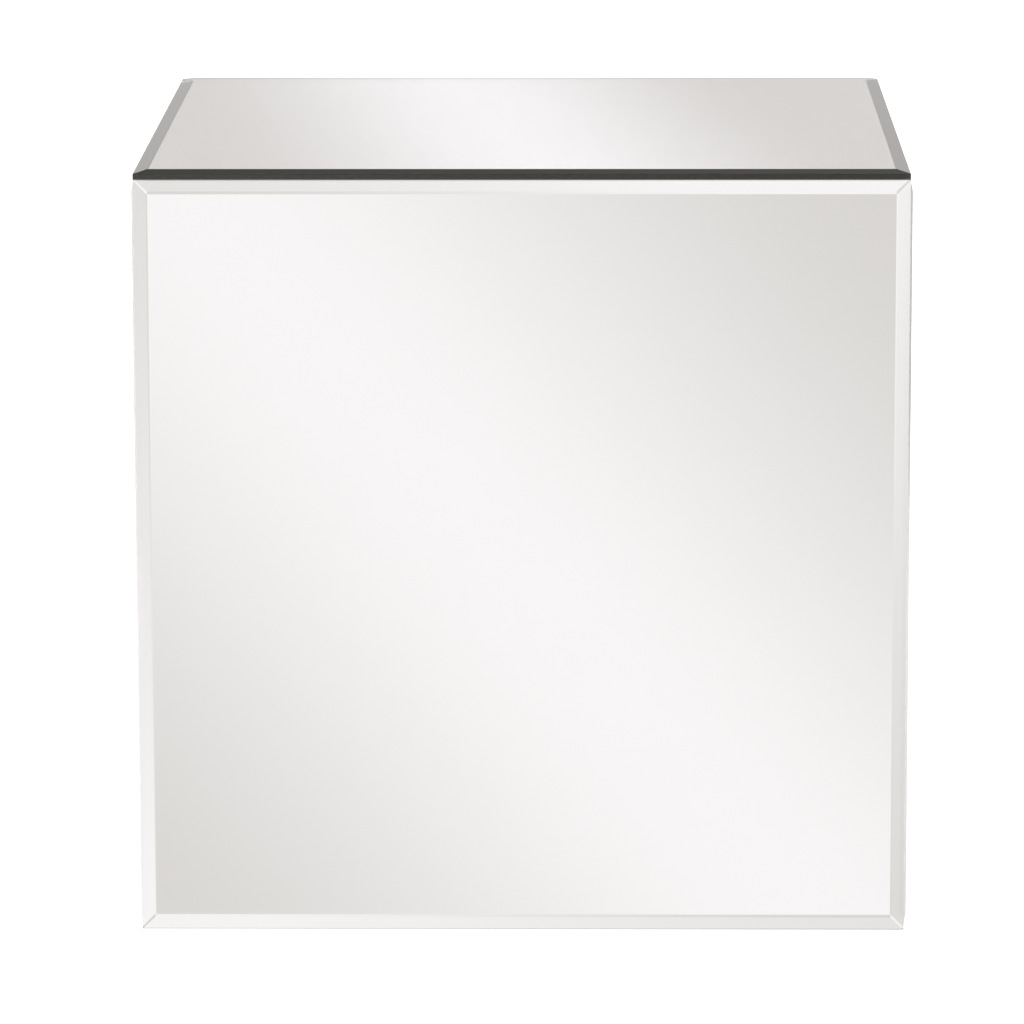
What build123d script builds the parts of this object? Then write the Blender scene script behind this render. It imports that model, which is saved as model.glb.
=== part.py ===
"""Mirror-clad display cube: five bevelled mirror panes bonded round a closed carcass.

Millimetres. Z is up, the front looks along -Y and the pads stand on z = 0.
Each pane is built flat, bevelled face up, and then laid on its side of the cube.
"""
import os

from build123d import *

# Overall size
CUBE = 457.0  # outside width, depth and height over the mirror faces: 18 inches

# Mirror panes
GLASS_T = 5.0  # float glass
BEVEL_W = 8.0  # width of the ground bevel, seen square on
BEVEL_DROP = 1.8  # how far the bevel falls below the face at the pane's edge
SILVER_T = 0.3  # silvering, its paint and the safety film, as one sheet
JOINT = 0.2  # hairline left where one pane laps another

# Mounting tape between the panes and the carcass
TAPE_T = 1.0
TAPE_W = 25.0
TAPE_STRIPS = 4
TAPE_MARGIN = 28.0  # strip centre or strip end to the carcass's edge

# Carcass
BOARD_T = 12.0  # medium-density fibreboard
BATTEN = 30.0  # square corner battens
BASE_CLEAR = 0.5  # gap round the lift-out base

# Dowels
DOWEL_R = 3.0
DOWEL_IN_FACE = 8.0  # depth in the board that is drilled through its face
DOWEL_IN_EDGE = 20.0  # depth in the board that is drilled into its edge
DOWEL_CHAMFER = 0.6
TOP_DOWELS = 3  # per wall
CORNER_DOWELS = 4  # per upright corner
DOWEL_MARGIN = 60.0  # first dowel to the end of the joint

# Base screws, countersunk
SCREW_L = 35.0
SCREW_R = 2.0
SCREW_HEAD_R = 4.0
SCREW_HEAD_H = 2.4
SCREW_TIP_H = 5.0
SCREW_TIP_R = 0.3
RECESS_SPAN = 4.4  # tip to tip of the cross recess
RECESS_W = 1.0
RECESS_DEPTH = 1.4

# Pads
PAD_T = 1.5
PAD_R = 14.0
PAD_ROUND = 0.4
PAD_FROM_SCREW = 30.0  # pad centre to screw centre, along X and along Y

# Levels and half-widths that follow from the above
FACE = CUBE / 2  # a mirror face to the cube's axis
GLASS_BACK = FACE - GLASS_T
PANE_EDGE = FACE - BEVEL_DROP  # a lapping pane's edge to the cube's axis
CLADDING = GLASS_T + SILVER_T + TAPE_T
SHELL = FACE - CLADDING  # the carcass's outer face to the cube's axis
SHELL_TOP = CUBE - CLADDING
WALL_MID = SHELL - BOARD_T / 2
WALL_IN = SHELL - BOARD_T
WALL_TOP = SHELL_TOP - BOARD_T
BASE_TOP = PAD_T + BOARD_T
BATTEN_MID = WALL_IN - BATTEN / 2
PANE_FOOT = PAD_T  # the panes' lower edges are flush with the base
PANE_HEAD = CUBE - GLASS_T - SILVER_T - JOINT

# Sizes of the three kinds of pane
TOP_SPAN = 2 * PANE_EDGE
PANE_H = PANE_HEAD - PANE_FOOT
FRONT_SPAN = 2 * PANE_EDGE
SIDE_SPAN = 2 * (GLASS_BACK - SILVER_T - JOINT)


def spread(count, half):
    """Even positions from -half to +half."""
    return [half * (2 * i / (count - 1) - 1) for i in range(count)]


def box(x0, x1, y0, y1, z0, z1):
    """Box between two corners."""
    middle = Pos((x0 + x1) / 2, (y0 + y1) / 2, (z0 + z1) / 2)
    return middle * Box(x1 - x0, y1 - y0, z1 - z0)


def side_plane(x_dir, outward, height):
    """Plane on the back of a pane: x along the pane, y up it, z out of the cube."""
    origin = (GLASS_BACK * outward[0], GLASS_BACK * outward[1], height)
    return Plane(origin=origin, x_dir=x_dir, z_dir=outward)


# ---- mirror panes ----
def bevelled_pane(width, height):
    """Pane with its back on z = 0 and a mitred bevel all round its face."""
    land = GLASS_T - BEVEL_DROP
    plate = extrude(Rectangle(width, height), land)
    outer = Pos(0, 0, land) * Rectangle(width, height)
    inner = Pos(0, 0, GLASS_T) * Rectangle(width - 2 * BEVEL_W, height - 2 * BEVEL_W)
    return plate + loft([outer.face(), inner.face()])


def silver_sheet(width, height):
    """Reflective coat and its protection, on the whole back of a pane."""
    return extrude(Rectangle(width, height), -SILVER_T)


def tape_strips(board_w, low, high):
    """Upright strips of foam tape from low to high behind one pane."""
    length = high - low
    strip = Box(TAPE_W, length, TAPE_T)
    depth = -SILVER_T - TAPE_T / 2
    middle = (low + high) / 2
    places = spread(TAPE_STRIPS, board_w / 2 - TAPE_MARGIN)
    return Compound([Pos(x, middle, depth) * strip for x in places])


def clad(name, plane, width, height, board_w, tape_low, tape_high):
    """The glass, silvering and tape of one side, laid on its plane."""
    seat = plane.location
    return {
        name + "_glass": seat * bevelled_pane(width, height),
        name + "_silvering": seat * silver_sheet(width, height),
        name + "_tape": seat * tape_strips(board_w, tape_low, tape_high),
    }


def cladding():
    """All five clad sides. The top laps the walls; front and back lap the sides."""
    pane_mid = (PANE_HEAD + PANE_FOOT) / 2
    wall_low = PAD_T + TAPE_MARGIN - pane_mid
    wall_high = SHELL_TOP - TAPE_MARGIN - pane_mid
    top = Plane(origin=(0, 0, CUBE - GLASS_T), x_dir=(1, 0, 0), z_dir=(0, 0, 1))
    top_half = SHELL - TAPE_MARGIN
    nodes = clad("top", top, TOP_SPAN, TOP_SPAN, 2 * SHELL, -top_half, top_half)
    walls = [
        ("front", (1, 0, 0), (0, -1, 0), FRONT_SPAN),
        ("back", (-1, 0, 0), (0, 1, 0), FRONT_SPAN),
        ("left", (0, -1, 0), (-1, 0, 0), SIDE_SPAN),
        ("right", (0, 1, 0), (1, 0, 0), SIDE_SPAN),
    ]
    for name, x_dir, outward, span in walls:
        plane = side_plane(x_dir, outward, pane_mid)
        nodes.update(clad(name, plane, span, PANE_H, 2 * SHELL, wall_low, wall_high))
    return nodes


# ---- dowels ----
def dowel():
    """Dowel along z: z = 0 is the joint, and the end in the board's edge points down."""
    low = Pos(0, 0, -DOWEL_IN_EDGE)
    length = DOWEL_IN_EDGE + DOWEL_IN_FACE
    pin = Cylinder(DOWEL_R, length, align=(Align.CENTER, Align.CENTER, Align.MIN))
    return low * chamfer(pin.edges().filter_by(GeomType.CIRCLE), DOWEL_CHAMFER)


def top_dowels(pin):
    """Dowels that tie the top board to the four walls."""
    pins = []
    for along in spread(TOP_DOWELS, SHELL - DOWEL_MARGIN):
        for side in (-1, 1):
            pins.append(Pos(along, side * WALL_MID, WALL_TOP) * pin)
            pins.append(Pos(side * WALL_MID, along, WALL_TOP) * pin)
    return pins


def corner_dowels(pin):
    """Dowels that tie the front and back boards to the side boards."""
    pins = []
    middle = (PAD_T + WALL_TOP) / 2
    for lift in spread(CORNER_DOWELS, (WALL_TOP - PAD_T) / 2 - DOWEL_MARGIN):
        for front in (-1, 1):
            turned = Rot(-90 * front, 0, 0) * pin
            for side in (-1, 1):
                pins.append(Pos(side * WALL_MID, front * WALL_IN, middle + lift) * turned)
    return pins


# ---- base screws ----
def cross_recess():
    """Cross that is cut up into a screw head that looks down."""
    slot = Box(RECESS_SPAN, RECESS_W, 2 * RECESS_DEPTH)
    return slot + Rot(0, 0, 90) * slot


def screw():
    """Countersunk wood screw, head flush with z = 0 and point up."""
    profile = Polyline(
        (0, 0),
        (SCREW_HEAD_R, 0),
        (SCREW_R, SCREW_HEAD_H),
        (SCREW_R, SCREW_L - SCREW_TIP_H),
        (SCREW_TIP_R, SCREW_L),
        (0, SCREW_L),
        close=True,
    )
    section = make_face(Plane.XZ * profile)
    return revolve(section, Axis.Z)


def screw_seats():
    """One screw position under each batten."""
    return [Pos(x * BATTEN_MID, y * BATTEN_MID, PAD_T) for x in (-1, 1) for y in (-1, 1)]


# ---- carcass ----
def walls():
    """Front and back boards run full width; the side boards stand between them."""
    return {
        "front_board": box(-SHELL, SHELL, -SHELL, -WALL_IN, PAD_T, WALL_TOP),
        "back_board": box(-SHELL, SHELL, WALL_IN, SHELL, PAD_T, WALL_TOP),
        "left_board": box(-SHELL, -WALL_IN, -WALL_IN, WALL_IN, PAD_T, WALL_TOP),
        "right_board": box(WALL_IN, SHELL, -WALL_IN, WALL_IN, PAD_T, WALL_TOP),
    }


def battens():
    """A square batten in each upright corner, from the base to the top board."""
    nodes = {}
    half = BATTEN / 2
    for side, x in (("left", -BATTEN_MID), ("right", BATTEN_MID)):
        for front, y in (("front", -BATTEN_MID), ("back", BATTEN_MID)):
            name = front + "_" + side + "_batten"
            nodes[name] = box(x - half, x + half, y - half, y + half, BASE_TOP, WALL_TOP)
    return nodes


def carcass(pins, bodies):
    """Boards and battens with the dowel and screw holes cut in them."""
    base_half = WALL_IN - BASE_CLEAR
    top = box(-SHELL, SHELL, -SHELL, SHELL, WALL_TOP, SHELL_TOP)
    base = box(-base_half, base_half, -base_half, base_half, PAD_T, BASE_TOP)
    nodes = {name: board - pins for name, board in walls().items()}
    nodes["top_board"] = top - pins
    nodes["base_board"] = base - bodies
    nodes.update({name: post - bodies for name, post in battens().items()})
    return nodes


# ---- pads ----
def pads():
    """Four self-adhesive pads, inboard of the base screws."""
    disc = Cylinder(PAD_R, PAD_T, align=(Align.CENTER, Align.CENTER, Align.MIN))
    rim = disc.edges().filter_by(GeomType.CIRCLE).sort_by(Axis.Z)[0]
    disc = fillet(rim, PAD_ROUND)
    reach = BATTEN_MID - PAD_FROM_SCREW
    nodes = {}
    for side, x in (("left", -reach), ("right", reach)):
        for front, y in (("front", -reach), ("back", reach)):
            nodes[front + "_" + side + "_pad"] = Pos(x, y, 0) * disc
    return nodes


def build():
    """Every node of the cube."""
    pin = dowel()
    pins = top_dowels(pin) + corner_dowels(pin)
    blank = screw()
    bodies = [seat * blank for seat in screw_seats()]
    driven = blank - cross_recess()
    nodes = cladding()
    nodes.update(carcass(pins, bodies))
    nodes["carcass_dowels"] = Compound(pins)
    nodes["base_screws"] = Compound([seat * driven for seat in screw_seats()])
    nodes.update(pads())
    return nodes


os.makedirs("parts", exist_ok=True)
for node, shape in build().items():
    export_step(shape, "parts/" + node + ".step")
    print(node, round(shape.volume, 1))
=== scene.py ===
# %% [markdown]
# # A mirror-clad display cube
# The object is a closed cube, 457 mm each way, clad in five bevelled mirror panes: one on top and one
# on each side. Behind the glass is a plain board box that stands on four pads. Almost all of what is
# seen is polished glass over silver, so this lesson is mostly about glass, silver and what they mirror.

from math import radians

import bmesh
import bpy
from mathutils import Euler, Matrix, Vector


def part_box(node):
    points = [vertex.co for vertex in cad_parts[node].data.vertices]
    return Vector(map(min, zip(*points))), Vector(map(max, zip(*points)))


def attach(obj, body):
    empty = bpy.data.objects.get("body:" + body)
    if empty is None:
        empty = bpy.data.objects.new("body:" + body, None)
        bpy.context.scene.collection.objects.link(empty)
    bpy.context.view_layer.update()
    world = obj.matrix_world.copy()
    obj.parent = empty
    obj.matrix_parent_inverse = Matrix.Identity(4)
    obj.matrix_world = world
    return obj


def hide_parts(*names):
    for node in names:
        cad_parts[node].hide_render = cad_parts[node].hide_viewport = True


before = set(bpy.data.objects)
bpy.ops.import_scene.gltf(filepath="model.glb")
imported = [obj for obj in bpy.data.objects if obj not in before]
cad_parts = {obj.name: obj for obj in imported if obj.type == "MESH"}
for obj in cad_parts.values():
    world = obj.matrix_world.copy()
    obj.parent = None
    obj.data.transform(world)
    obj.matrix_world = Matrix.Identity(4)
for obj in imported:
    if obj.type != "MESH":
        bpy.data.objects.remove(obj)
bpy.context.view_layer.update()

# %% [markdown]
# ## Camera
# The cube is seen almost square on from about four metres away through a long lens, a little to the
# right of its middle and a metre up, so the top shows as a thin trapezium and both sides stay hidden.
# A long lens is set by its focal length, and no shift is used, so other views stay centred. The view
# transform is the plain one, because a filmic curve would turn the white table grey.

# %% Camera
LENS = 221.55
EYE = Vector((0.0446, -3.8656, 0.9574))
TILT, TURN, ROLL = -10.928, 0.795, -0.119

camera = bpy.data.objects.new("camera", bpy.data.cameras.new("camera"))
bpy.context.scene.collection.objects.link(camera)
camera.data.lens = LENS
camera.location = EYE
aim = Euler((radians(90 + TILT), 0, radians(TURN))).to_matrix()
camera.rotation_euler = (aim @ Euler((0, 0, radians(ROLL))).to_matrix()).to_euler()
bpy.context.scene.camera = camera
bpy.context.scene.view_settings.view_transform = "Standard"

# %% [markdown]
# ## Writing shaders as sums
# A node tree is a set of sums on sockets. This class wraps one socket, so a sum written in Python adds
# the Math nodes that work it out, and one method adds any other node. The same tree could be drawn by
# hand in the editor, but a sum is shorter to read and to change.


# %% A socket that can be calculated with
def lay_stops(ramp, stops):
    """Give a colour ramp its stops, each a place and a colour."""
    while len(ramp.elements) < len(stops):
        ramp.elements.new(1)
    for element, (place, colour) in zip(ramp.elements, stops):
        element.position = place
        element.color = colour


class Wire:
    """An output socket: arithmetic on it adds Math nodes, and node() adds any other node."""

    def __init__(self, tree, socket=None):
        self.tree = tree
        self.socket = socket

    def node(self, kind, settings=None, inputs=None, output=0):
        made = self.tree.nodes.new(kind)
        for name, value in (settings or {}).items():
            if name == "stops":
                lay_stops(made.color_ramp, value)
            else:
                setattr(made, name, value)
        for name, value in (inputs or {}).items():
            if isinstance(value, Wire):
                self.tree.links.new(value.socket, made.inputs[name])
            else:
                made.inputs[name].default_value = value
        return Wire(self.tree, made.outputs[output] if made.outputs else None)

    def math(self, operation, *values):
        inputs = dict(enumerate(values))
        return self.node("ShaderNodeMath", {"operation": operation}, inputs)

    def __add__(self, other):
        return self.math("ADD", self, other)

    def __sub__(self, other):
        return self.math("SUBTRACT", self, other)

    def __rsub__(self, other):
        return self.math("SUBTRACT", other, self)

    def __mul__(self, other):
        return self.math("MULTIPLY", self, other)

    def __abs__(self):
        return self.math("ABSOLUTE", self)

    __radd__ = __add__
    __rmul__ = __mul__

    def clamp(self):
        return self.node("ShaderNodeClamp", None, {"Value": self})

    def step(self, low, high):
        """0 below low, 1 above high and a smooth rise between."""
        limits = {"Value": self, "From Min": low, "From Max": high}
        return self.node("ShaderNodeMapRange", {"interpolation_type": "SMOOTHSTEP"}, limits)

    def between(self, rise, full, fall, gone):
        """0 outside rise and gone, 1 from full to fall and smooth on both sides."""
        return self.step(rise, full) * (1 - self.step(fall, gone))

    def mix(self, first, second):
        """The first colour where this is 0 and the second where it is 1."""
        inputs = {0: self, 6: first, 7: second}
        return self.node("ShaderNodeMix", {"data_type": "RGBA"}, inputs, 2)


print("sums on sockets:", *(name for name in vars(Wire) if "__" not in name))

# %% [markdown]
# ## What the mirrors see
# A mirror has no look of its own, so the studio round it is the real finish. Here it is a surround of
# broad slanting bands of light, warm grey between and nearly white along their middles. A flat mirror
# keeps angles as they are, so the slant comes out as the diagonal sheen on each pane. The surround is
# worked out from a direction's heading and height, in degrees, and repeats every quarter turn, so each
# side of the cube, seen square on, gets the same light as the front. Lamps and cards would do the same
# in a real studio, but each would need its own place, and a formula is quicker to adjust.

# %% Surround: heading and height
DEGREES = 57.2958
QUARTER = 90.0

world = bpy.data.worlds.new("studio")
bpy.context.scene.world = world
world.use_nodes = True
world.node_tree.nodes.clear()
sky = Wire(world.node_tree)
direction = sky.node("ShaderNodeTexCoord")
split = direction.node("ShaderNodeSeparateXYZ", None, {0: direction})
to_x, to_y, to_z = (Wire(sky.tree, socket) for socket in split.socket.node.outputs)
heading = to_y.math("ARCTAN2", to_y, to_x) * DEGREES
height = to_z.math("ARCSINE", to_z) * DEGREES
turned = heading + QUARTER * 1.5
quarter = turned.math("FLOORED_MODULO", turned, QUARTER) - QUARTER / 2
sideways = abs(quarter)
print("surround repeats every", QUARTER, "degrees")

# %% [markdown]
# The bands lie 18 degrees apart. They are soft in the open, firmer in the patch that a face mirrors
# when it is seen square on from a little above, and narrow where the top mirrors the far wall. A
# stripe texture could lay them too, but it has one softness, and here that has to change with place.

# %% Surround: the bands
BAND_PITCH, BAND_LEAN, BAND_SHIFT = 18.0, 0.864, 10.68
OPEN_HALF, PATCH_HALF, FAR_HALF = 9.0, 6.6, 3.2
PATCH_ACROSS, PATCH_UP, PATCH_EDGE = -0.75, -11.2, (14, 20)
FAR_HEIGHTS, FAR_EDGE = (2.5, 4.5, 9.5, 12.0), (14, 24)

slant = quarter + height * BAND_LEAN + BAND_SHIFT
off_band = slant.math("PINGPONG", slant, BAND_PITCH / 2)
across = quarter - PATCH_ACROSS
upward = height - PATCH_UP
from_patch = across.math("MAXIMUM", abs(across), abs(upward))
in_patch = 1 - from_patch.step(*PATCH_EDGE)
far_wall = height.between(*FAR_HEIGHTS) * (1 - sideways.step(*FAR_EDGE))
half_width = OPEN_HALF - in_patch * (OPEN_HALF - PATCH_HALF) - far_wall * (OPEN_HALF - FAR_HALF)
band = 1 - off_band.step(0, half_width)
print("bands", BAND_PITCH, "degrees apart, half widths", OPEN_HALF, PATCH_HALF, FAR_HALF)

# %% [markdown]
# Round the patch the light turns, bright at two opposite corners and dim at the others, because that
# ring is what the bevels mirror, and a bevel only shows if its light differs from the face's. One
# product of across and upward makes the turn, where four separate cards would leave seams.

# %% Surround: the ring the bevels see
RING_LEVEL, RING_TURN, RING_CURVE, RING_TILT = 0.565, -0.0105, 0.0019, 0.007
RING_SPAN = (7.2, 9.0, 12.5, 16.0)

ring = across * upward * RING_TURN + upward * upward * RING_CURVE + across * RING_TILT + RING_LEVEL
ring = ring.clamp()
tone = band + (ring - band) * from_patch.between(*RING_SPAN)
print("ring from", RING_SPAN[0], "to", RING_SPAN[-1], "degrees round the patch")

# %% [markdown]
# Above the bands the studio is dark, most of all straight ahead of each side. The top pane's front
# bevel looks up into that dark, which is why it reads as a nearly black line over bright glass. Black
# cloth hung there would do the same. Higher still, and far below, the light is even and nearly white.

# %% Surround: tones, the dark above the bands and the lamp overhead
BAND_TONE = (1.024, 1.005, 1.012, 1)
BETWEEN_TONE = (0.752, 0.729, 0.713, 1)
DARK_TONE = (0.05, 0.043, 0.015, 1)
OVERHEAD_TONE = (0.95, 0.95, 0.95, 1)
OVERHEAD_EDGE = (28, 52)
DARK, DARK_ASIDE = 0.62, 0.25
DARK_HEIGHTS, ASIDE_EDGE = (13, 27, 42, 66), (12, 30)

banded = tone.mix(BETWEEN_TONE, BAND_TONE)
faded = abs(height).step(*OVERHEAD_EDGE).mix(banded, OVERHEAD_TONE)
dark_depth = DARK - sideways.step(*ASIDE_EDGE) * (DARK - DARK_ASIDE)
darkness = height.between(*DARK_HEIGHTS) * dark_depth
toned = darkness.mix(faded, DARK_TONE)
print("dark from", DARK_HEIGHTS[0], "to", DARK_HEIGHTS[-1], "degrees up")

# %% [markdown]
# Two narrow upright lamps stand behind each side, in line with what the end bevels of the next two
# panes mirror. They light the thin slivers of those bevels that show past the face, which would be
# grey lines without them. The right one is dimmer above, where the sliver stays a soft grey. Wider
# lamps would be easier to aim, but they would wash out a whole face in the views between two sides.

# %% Surround: edge lamps
LEFT_LAMP, RIGHT_LAMP, LOW_LAMP = 1.2, 0.35, 0.9
LEFT_SPAN, RIGHT_SPAN = (20.2, 20.9, 21.3, 22.0), (-23.4, -22.7, -22.3, -21.6)
LAMP_HEIGHTS, LOW_EDGE = (-19, -16, -6.5, -4), (-11.8, -9.6)
UPPER_GAIN, UPPER_EDGE = 0.085, (0, 4.5)

left_lamp = quarter.between(*LEFT_SPAN) * LEFT_LAMP
low_glow = (1 - height.step(*LOW_EDGE)) * LOW_LAMP + RIGHT_LAMP
right_lamp = quarter.between(*RIGHT_SPAN) * low_glow
lamps = (left_lamp + right_lamp) * height.between(*LAMP_HEIGHTS)
strength = 1 + height.step(*UPPER_EDGE) * UPPER_GAIN + lamps
print("edge lamps from", LEFT_SPAN[1], "to", LEFT_SPAN[2], "and", *RIGHT_SPAN[1:3], "degrees")

# %% [markdown]
# Looked at directly, the surround is plain white paper, and only reflections and soft light see the
# bands. It is as if a white sheet hung behind the cube with the lamps kept out of sight. A real sheet
# would do for one view, but it would show in the mirrors from every other one.

# %% Surround: white paper behind the cube
PAPER_WHITE = (1.05, 1.05, 1.05, 1)

ray = sky.node("ShaderNodeLightPath")
studio = sky.node("ShaderNodeBackground", None, {"Color": toned, "Strength": strength})
paper = sky.node("ShaderNodeBackground", None, {"Color": PAPER_WHITE})
glow = sky.node("ShaderNodeMixShader", None, {0: ray, 1: studio, 2: paper})
sky.node("ShaderNodeOutputWorld", None, {"Surface": glow})
print("surround made of", len(world.node_tree.nodes), "nodes")

# %% [markdown]
# ## Floor
# The cube stands on a white lit table, as in a product studio: it glows, so it comes out as white as
# the surround and the cube throws almost no shadow. A plain white plane would need strong lamps and
# would still shade off. The table's underside is clear, so the cube can be seen from below.


# %% Table paint
def new_finish(name):
    """An empty material and the wire that starts its shader."""
    finish = bpy.data.materials.new(name)
    finish.use_nodes = True
    finish.node_tree.nodes.clear()
    return finish, Wire(finish.node_tree)


def surface(start, shader):
    """Join a shader to the material's output."""
    start.node("ShaderNodeOutputMaterial", None, {"Surface": shader})


TABLE_PAINT, TABLE_LIGHT = (0.9, 0.9, 0.9, 1), (1, 1, 1, 1)
TABLE_GLOW = 0.85

table_white, start = new_finish("table_white")
paint = start.node("ShaderNodeBsdfDiffuse", None, {"Color": TABLE_PAINT})
light = start.node("ShaderNodeEmission", None, {"Color": TABLE_LIGHT, "Strength": TABLE_GLOW})
lit = start.node("ShaderNodeAddShader", None, {0: paint, 1: light})
clear = start.node("ShaderNodeBsdfTransparent")
under = start.node("ShaderNodeNewGeometry", output="Backfacing")
surface(start, start.node("ShaderNodeMixShader", None, {0: under, 1: lit, 2: clear}))
print(table_white.name, "glows at", TABLE_GLOW)

# %% [markdown]
# The table is one wide plane, as white as what lies beyond it, so its far edge doesn't show. In the
# mirrors it would, as a line across the bands, so it is left out of reflections and of what is seen
# through glass. A small table would need no such care, but its edge would cross the view.

# %% Table
FLOOR_SIZE = 60


def put_on(finish, piece):
    """Give a piece this finish alone."""
    piece.data.materials.clear()
    piece.data.materials.append(finish)


bpy.ops.object.select_all(action="DESELECT")
bpy.ops.mesh.primitive_plane_add(size=FLOOR_SIZE, location=(0, 0, 0))
table = bpy.context.object
table.name = "table"
put_on(table_white, table)
table.visible_glossy = False
table.visible_transmission = False
print("floor", FLOOR_SIZE, "m across")

# %% [markdown]
# ## Glass and silver
# A mirror pane is clear float glass with silver on its back. The light goes through the glass, off the
# silver and out again, and that double trip is why a bevel looks bent and why the rim of a pane lying
# flat looks nearly black: light that goes in there is caught inside. A metal slab would be quicker to
# make, but its bevels would look flat, so the glass is real glass here, with the silver as a separate
# metal face at its back. A trace of wiping marks keeps the polish from being perfect.


# %% Glass
def object_place(start):
    """Position on the object, in metres."""
    return start.node("ShaderNodeTexCoord", output="Object")


def speckle(place, scale, detail=3.0, roughness=0.5):
    """Noise about so many times to the metre."""
    inputs = {"Vector": place, "Scale": scale, "Detail": detail, "Roughness": roughness}
    return place.node("ShaderNodeTexNoise", None, inputs)


GLASS_INDEX = 1.52
GLASS_CLEAN, GLASS_WIPED = (0.985, 0.995, 0.99, 1), (0.98, 0.99, 0.984, 1)
SMEAR_EDGE, SMEAR_ROUGH = (0.52, 0.8), 0.006

clear_glass, start = new_finish("clear_glass")
smear = speckle(object_place(start), scale=9, detail=5, roughness=0.6).step(*SMEAR_EDGE)
glass = {
    "Base Color": smear.mix(GLASS_CLEAN, GLASS_WIPED),
    "Roughness": smear * SMEAR_ROUGH,
    "IOR": GLASS_INDEX,
    "Transmission Weight": 1.0,
}
surface(start, start.node("ShaderNodeBsdfPrincipled", None, glass))
print(clear_glass.name, "bends light by", GLASS_INDEX)

# %% [markdown]
# The rim is the same glass, but it is looked through lengthways, so its own olive tint shows, and it is
# only ground and polished, so it is a touch rougher than the face. An absorbing volume would tint it by
# the true path of the light, but slowly and with grain, so the tint is put on the rim's surface.

# %% Polished rim of the glass
RIM_DEEP, RIM_PALE = (0.40, 0.42, 0.28, 1), (0.48, 0.50, 0.36, 1)
RIM_ROUGH, RIM_CLEARNESS = 0.03, 0.96

rim_glass, start = new_finish("rim_glass")
grind = speckle(object_place(start), scale=420, detail=2)
rim = {
    "Base Color": grind.mix(RIM_DEEP, RIM_PALE),
    "Roughness": RIM_ROUGH + grind * RIM_ROUGH,
    "IOR": GLASS_INDEX,
    "Transmission Weight": RIM_CLEARNESS,
}
surface(start, start.node("ShaderNodeBsdfPrincipled", None, rim))
print(rim_glass.name, "lets through", RIM_CLEARNESS)

# %% [markdown]
# Silver is the brightest of metals and almost without colour. Behind glass it never tarnishes, so it
# has no roughness at all, only the faintest cloudiness from one part of the sheet to another. A white
# gloss would mirror too, but only faintly from most angles, and metal mirrors strongly from all.

# %% Silver
SILVER_DIM, SILVER_BRIGHT = (0.925, 0.92, 0.915, 1), (0.935, 0.93, 0.925, 1)

silver, start = new_finish("silver")
cloud = speckle(object_place(start), scale=14, detail=4)
metal = {
    "Base Color": cloud.mix(SILVER_DIM, SILVER_BRIGHT),
    "Metallic": 1.0,
    "Roughness": 0.0,
}
surface(start, start.node("ShaderNodeBsdfPrincipled", None, metal))
print("mirror finishes:", clear_glass.name, rim_glass.name, silver.name)

# %% [markdown]
# ## Mirror panes
# Each pane starts as a square of float glass, cut to size and as thick as its rim will be. The plain
# solid pane could be reworked, but it is a mesh of loose triangles, and a fresh box has the clean edges
# that the grinding needs. Its back stops a hair short of the solid silvering, so the two never mingle.

# %% Cutting the glass
SIDES = {
    "top": Vector((0, 0, 1)),
    "front": Vector((0, -1, 0)),
    "back": Vector((0, 1, 0)),
    "left": Vector((-1, 0, 0)),
    "right": Vector((1, 0, 0)),
}
DROP = 0.0018
AIR = 0.00002


def cut_glass(side, out):
    """Square plate as thick as the pane's rim, its back just in front of the silvering."""
    low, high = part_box(side + "_glass")
    size = high - low
    for axis in range(3):
        size[axis] -= abs(out[axis]) * (DROP + AIR)
    centre = (low + high) / 2 + out * (AIR - DROP) / 2
    bpy.ops.object.select_all(action="DESELECT")
    bpy.ops.mesh.primitive_cube_add(size=1, location=centre, scale=size)
    pane = bpy.context.object
    pane.name = side + "_mirror"
    bpy.ops.object.transform_apply(location=True, rotation=True, scale=True)
    return pane


panes = {side: cut_glass(side, out) for side, out in SIDES.items()}
for pane in panes.values():
    print(pane.name, "cut", [round(length, 4) for length in pane.dimensions])

# %% [markdown]
# Grinding needs one pane at a time in edit mode, with only the right faces or edges selected. In the
# editor they would be clicked. In code they are picked by where they lie or which way they face, which
# a reader can check, and not by their numbers, which change with every cut.

# %% Picking faces and edges
SQUARE_ON = 0.9


def take_up(piece):
    """Select one piece alone and open it for editing."""
    bpy.ops.object.select_all(action="DESELECT")
    piece.select_set(True)
    bpy.context.view_layer.objects.active = piece
    bpy.ops.object.mode_set(mode="EDIT")


def pick(kind, test):
    """In edit mode, select only the faces or edges that pass the test."""
    bpy.ops.mesh.select_all(action="DESELECT")
    shape = bmesh.from_edit_mesh(bpy.context.object.data)
    bpy.ops.mesh.select_mode(type=kind)
    for part in shape.faces if kind == "FACE" else shape.edges:
        if test(part):
            part.select_set(True)
    shape.select_flush_mode()
    bmesh.update_edit_mesh(bpy.context.object.data)


print("faces look straight out past a cosine of", SQUARE_ON)

# %% [markdown]
# A shallow bevel, 8 mm wide, is ground round each face. It could be a bevel modifier, but a modifier
# bevels by angle and keeps no exact rim. Insetting the face and lifting the inner part by the bevel's
# fall gives the very bevel that a grinder does, mitres included. After that the rim's outer edges get
# the narrow arris that stops a glazier being cut. The edges at the back stay sharp, because an arris
# there would cut into the silver and let light leak out past it.

# %% Grinding the bevel and the arris
BEVEL = 0.008
ARRIS = 0.0001


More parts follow.
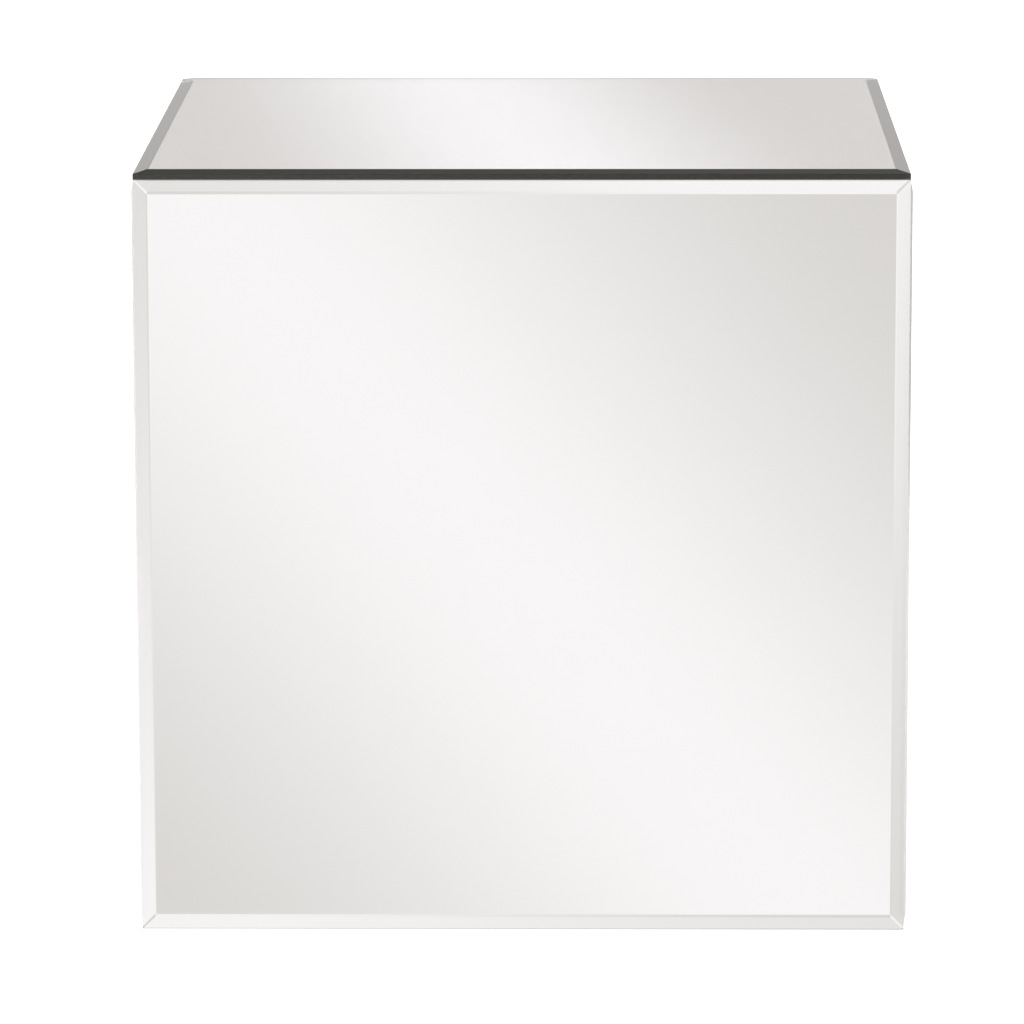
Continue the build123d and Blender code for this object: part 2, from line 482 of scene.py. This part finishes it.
def grind(pane, out):
    """Bevel round the face, and an arris on the rim's front edges and its four corners."""
    levels = [v.co.dot(out) for v in pane.data.vertices]
    back, land = min(levels) + ARRIS, max(levels) + DROP / 2
    take_up(pane)
    pick("FACE", lambda face: face.normal.dot(out) > SQUARE_ON)
    bpy.ops.mesh.inset(thickness=BEVEL, depth=DROP)
    pick("EDGE", lambda edge: back < max(v.co.dot(out) for v in edge.verts) < land)
    bpy.ops.mesh.bevel(offset=ARRIS, segments=2, affect="EDGES")
    bpy.ops.object.mode_set(mode="OBJECT")


for side, pane in panes.items():
    grind(pane, SIDES[side])
    print(pane.name, "ground to", len(pane.data.polygons), "faces")

# %% [markdown]
# Silver is poured on the back alone. The three finishes could be painted on by hand, face by face, but
# how far a face looks outwards says which one it wears: the face and its bevels are clear glass, the
# back is silver, and what lies between is the rim.

# %% Silvering the back
OUTWARD, INWARD = 0.1, -0.95


def coat(pane, out):
    """Clear glass on all that faces out, silver on the back and rim glass between."""
    for finish in (clear_glass, rim_glass, silver):
        pane.data.materials.append(finish)
    for face in pane.data.polygons:
        facing = face.normal.dot(out)
        face.material_index = 0 if facing > OUTWARD else 2 if facing < INWARD else 1


for side, pane in panes.items():
    coat(pane, SIDES[side])
    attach(pane, "root")
    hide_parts(side + "_glass")
    print(pane.name, [round(length, 4) for length in pane.dimensions], len(pane.data.polygons))

# %% [markdown]
# ## Behind the glass
# Little of this is seen, but each piece has its own stuff: fibreboard, softwood, dowels, foam tape and
# the grey paint that guards the silver. Their shapes are right as they come, so they only get finishes.
# All of them are plain and dull, so one helper builds the shader and each finish brings its changing
# parts. The paint is rolled on thin, so its grey varies a little.


# %% Painted backs of the panes
def dull(start, colour, rough, bump=None, relief=0.0001, metallic=0.0):
    """A plain opaque finish from its changing parts."""
    inputs = {"Base Color": colour, "Roughness": rough, "Metallic": metallic}
    if bump is not None:
        bumps = {"Height": bump, "Distance": relief, "Strength": 1.0}
        inputs["Normal"] = start.node("ShaderNodeBump", None, bumps)
    surface(start, start.node("ShaderNodeBsdfPrincipled", None, inputs))


PAINT_DARK, PAINT_LIGHT = (0.16, 0.17, 0.17, 1), (0.24, 0.25, 0.25, 1)

backing_paint, start = new_finish("backing_paint")
peel = speckle(object_place(start), scale=700, detail=2)
dull(start, peel.mix(PAINT_DARK, PAINT_LIGHT), rough=0.5 + peel * 0.2)
print("finish", backing_paint.name)

# %% [markdown]
# Mounting tape is white foam with closed cells about half a millimetre across. Voronoi cells draw them
# better than noise, because foam is made of rounded cells and not of drifts. The middle of each cell
# is painted a darker grey, as painted shade in its hollow.

# %% Foam tape
# The darker grey at each cell's middle is painted shade in the hollow, not a colour of the foam.
FOAM_HOLLOW_SHADE, FOAM_WALL = (0.72, 0.72, 0.69, 1), (0.86, 0.86, 0.83, 1)
FOAM_CELLS = 1800.0

white_foam, start = new_finish("white_foam")
place = object_place(start)
cells = place.node("ShaderNodeTexVoronoi", None, {"Vector": place, "Scale": FOAM_CELLS})
dull(start, cells.mix(FOAM_HOLLOW_SHADE, FOAM_WALL), rough=0.85 + cells * 0.1)
print("finish", white_foam.name, "with", FOAM_CELLS, "cells to the metre")

# %% [markdown]
# Raw fibreboard is pressed wood fibre, tan with darker and paler threads and a slow drift of tone. Its
# sawn edges frame the base from below. A plain mix of two colours looks like paint, so a colour ramp
# sets the four shades that the fibres come in.

# %% Fibreboard
BOARD_SHADES = [
    (0.30, (0.26, 0.18, 0.115, 1)),
    (0.45, (0.44, 0.33, 0.22, 1)),
    (0.62, (0.55, 0.43, 0.30, 1)),
    (0.78, (0.68, 0.56, 0.42, 1)),
]
FIBRE_SHARE, DRIFT_SHARE = 0.7, 0.3

fibreboard, start = new_finish("raw_fibreboard")
place = object_place(start)
fibre = speckle(place, scale=900, detail=4, roughness=0.7)
drift = speckle(place, scale=12, detail=2)
blend = fibre * FIBRE_SHARE + drift * DRIFT_SHARE
board_tone = blend.node("ShaderNodeValToRGB", {"stops": BOARD_SHADES}, {"Fac": blend})
dull(start, board_tone, rough=0.78 + fibre * 0.15, bump=fibre, relief=0.0001)
print("finish", fibreboard.name, "in", len(BOARD_SHADES), "shades")

# %% [markdown]
# The battens are planed softwood, whose rings run as long streaks up the post. A wave texture draws
# rings too, but too evenly, so noise squeezed along Z is used.

# %% Softwood
ALONG_POST = (1.0, 1.0, 0.03)
PINE_PALE, PINE_RING = (0.80, 0.64, 0.42, 1), (0.60, 0.40, 0.21, 1)
RING_EDGE = (0.35, 0.7)

softwood, start = new_finish("planed_softwood")
place = object_place(start)
along = place.node("ShaderNodeMapping", None, {"Vector": place, "Scale": ALONG_POST})
rings = speckle(along, scale=190, roughness=0.55)
pores = speckle(along, scale=1400, detail=2)
pine_tone = rings.step(*RING_EDGE).mix(PINE_PALE, PINE_RING)
dull(start, pine_tone, rough=0.55 + pores * 0.2, bump=pores, relief=0.00008)
print("finish", softwood.name)

# %% [markdown]
# The dowels are beech, which is redder than the softwood and has short flecks in place of streaks, so
# its noise is left unsqueezed.

# %% Beech
BEECH_PALE, BEECH_FLECK = (0.70, 0.50, 0.33, 1), (0.55, 0.35, 0.2, 1)
FLECK_EDGE = (0.45, 0.7)

beech, start = new_finish("beech_dowel")
flecks = speckle(object_place(start), scale=1100, roughness=0.6)
beech_tone = flecks.step(*FLECK_EDGE).mix(BEECH_PALE, BEECH_FLECK)
dull(start, beech_tone, rough=0.55 + flecks * 0.15, bump=flecks, relief=0.00005)
print("finish", beech.name)

# %% [markdown]
# The base is fibreboard rolled with black paint. A roller leaves a fine orange-peel, which is the bump
# here, and now and then the paint is rubbed thin, so a slower noise lets a little brown through.

# %% Black base
BLACK, RUBBED = (0.012, 0.012, 0.013, 1), (0.09, 0.08, 0.07, 1)
WEAR_EDGE, WEAR_DEPTH = (0.62, 0.9), 0.6

black_paint, start = new_finish("black_paint")
place = object_place(start)
roller = speckle(place, scale=520)
wear = speckle(place, scale=30, detail=6, roughness=0.7).step(*WEAR_EDGE)
base_tone = (wear * WEAR_DEPTH).mix(BLACK, RUBBED)
dull(start, base_tone, rough=0.42 + roller * 0.2 + wear * 0.2, bump=roller, relief=0.00012)
print("finish", black_paint.name)

# %% [markdown]
# The screws are steel with bright zinc plate, a grey metal with a soft bloom. A bloom changes how rough
# the plate is more than its colour, so one noise drives both.

# %% Zinc plate
ZINC_DULL, ZINC_BRIGHT = (0.60, 0.60, 0.58, 1), (0.74, 0.74, 0.72, 1)

zinc, start = new_finish("zinc")
bloom = speckle(object_place(start), scale=600)
dull(start, bloom.mix(ZINC_DULL, ZINC_BRIGHT), rough=0.25 + bloom * 0.2, metallic=1.0)
print("finish", zinc.name)

# %% [markdown]
# Each solid piece takes the finish that the end of its name asks for. They could be given one at a
# time, but a short table says at a glance what everything behind the glass is made of.

# %% Finishes onto the solid pieces
BEHIND = {
    "_silvering": backing_paint,
    "_tape": white_foam,
    "_board": fibreboard,
    "_batten": softwood,
    "_dowels": beech,
    "_screws": zinc,
}
for name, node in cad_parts.items():
    for ending, finish in BEHIND.items():
        if name.endswith(ending):
            put_on(finish, node)
put_on(black_paint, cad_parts["base_board"])
print("solid nodes finished:", len(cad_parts))

# %% [markdown]
# ## Pads
# Each pad is moulded in grey rubber. One flat grey would look like plastic. Dust clings to rubber and
# dulls it in patches, so a slow noise lightens it here and there, over a grain that is too fine to see
# but takes off the shine.

# %% Rubber
RUBBER_CLEAN, RUBBER_DUSTY = (0.13, 0.13, 0.135, 1), (0.20, 0.195, 0.18, 1)
DUST_EDGE = (0.5, 0.85)

rubber, start = new_finish("rubber")
place = object_place(start)
grain = speckle(place, scale=2500, detail=2)
dust = speckle(place, scale=90, detail=5, roughness=0.7).step(*DUST_EDGE)
rubber_tone = dust.mix(RUBBER_CLEAN, RUBBER_DUSTY)
dull(start, rubber_tone, rough=0.62 + grain * 0.25, bump=grain, relief=0.00006)
print("finish", rubber.name)

# %% [markdown]
# A pad comes off its backing sheet as a disc. It could be turned from a drawn profile, but a cylinder
# is quicker and just as round. All four are alike, so one is made, in the place of its solid pad.

# %% One disc
PADS = ["front_left_pad", "front_right_pad", "back_left_pad", "back_right_pad"]
PAD_SIDES = 48


def pad_disc(name):
    """Plain disc in the place of the solid pad."""
    low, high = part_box(name)
    radius = (high.x - low.x) / 2
    bpy.ops.object.select_all(action="DESELECT")
    bpy.ops.mesh.primitive_cylinder_add(
        vertices=PAD_SIDES, radius=radius, depth=high.z - low.z, location=(low + high) / 2
    )
    bpy.ops.object.transform_apply(location=True, rotation=True, scale=True)
    return bpy.context.object


first_pad = pad_disc(PADS[0])
print("disc", [round(length, 4) for length in first_pad.dimensions])

# %% [markdown]
# The foot's edge is rounded by a bevel, and its middle is dished so that it grips like a cup: the foot
# is inset to leave a lip, and what is inside is inset again and pressed in. Smoothing by angle then
# rounds the sides to the eye and keeps the lip crisp.

# %% One foot
PAD_EDGE, PAD_LIP, PAD_DISH = 0.0006, 0.0035, 0.0005
FOOT_LEVEL = 0.0001
FLAT_DOWN = -0.99
SMOOTH_BELOW = radians(40)


def mould_foot(pad):
    """Round the foot's edge and dish its middle."""
    foot = min(v.co.z for v in pad.data.vertices) + FOOT_LEVEL
    take_up(pad)
    pick("EDGE", lambda edge: max(v.co.z for v in edge.verts) < foot)
    bpy.ops.mesh.bevel(offset=PAD_EDGE, segments=4, affect="EDGES")
    pick("FACE", lambda face: face.normal.z < FLAT_DOWN)
    bpy.ops.mesh.inset(thickness=PAD_LIP)
    bpy.ops.mesh.inset(thickness=PAD_DISH, depth=-PAD_DISH)
    bpy.ops.object.mode_set(mode="OBJECT")
    bpy.ops.object.shade_smooth_by_angle(angle=SMOOTH_BELOW)


mould_foot(first_pad)
put_on(rubber, first_pad)
print("pad moulded in", len(first_pad.data.polygons), "faces")

# %% [markdown]
# The other three pads are copies of the first. Linked copies would share one mesh, but here a piece
# has its place in its mesh, so each copy gets a mesh of its own, and that is what moves to the corner.


# %% Four pads
def copy_of(pad, shift):
    """Copy of a pad with a mesh of its own, moved to another corner."""
    copy = pad.copy()
    copy.data = pad.data.copy()
    copy.data.transform(Matrix.Translation(shift))
    pad.users_collection[0].objects.link(copy)
    return copy


pads = {PADS[0]: first_pad}
for name in PADS[1:]:
    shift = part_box(name)[0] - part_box(PADS[0])[0]
    pads[name] = copy_of(first_pad, shift)
for name, pad in pads.items():
    pad.name = name.replace("_pad", "_rubber")
    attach(pad, "root")
    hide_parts(name)
    print(pad.name, len(pad.data.polygons), "faces, in mesh", pad.data.name)

# %% [markdown]
# ## Last step
# The selection is cleared.

# %% Clearing the selection
bpy.ops.object.select_all(action="DESELECT")
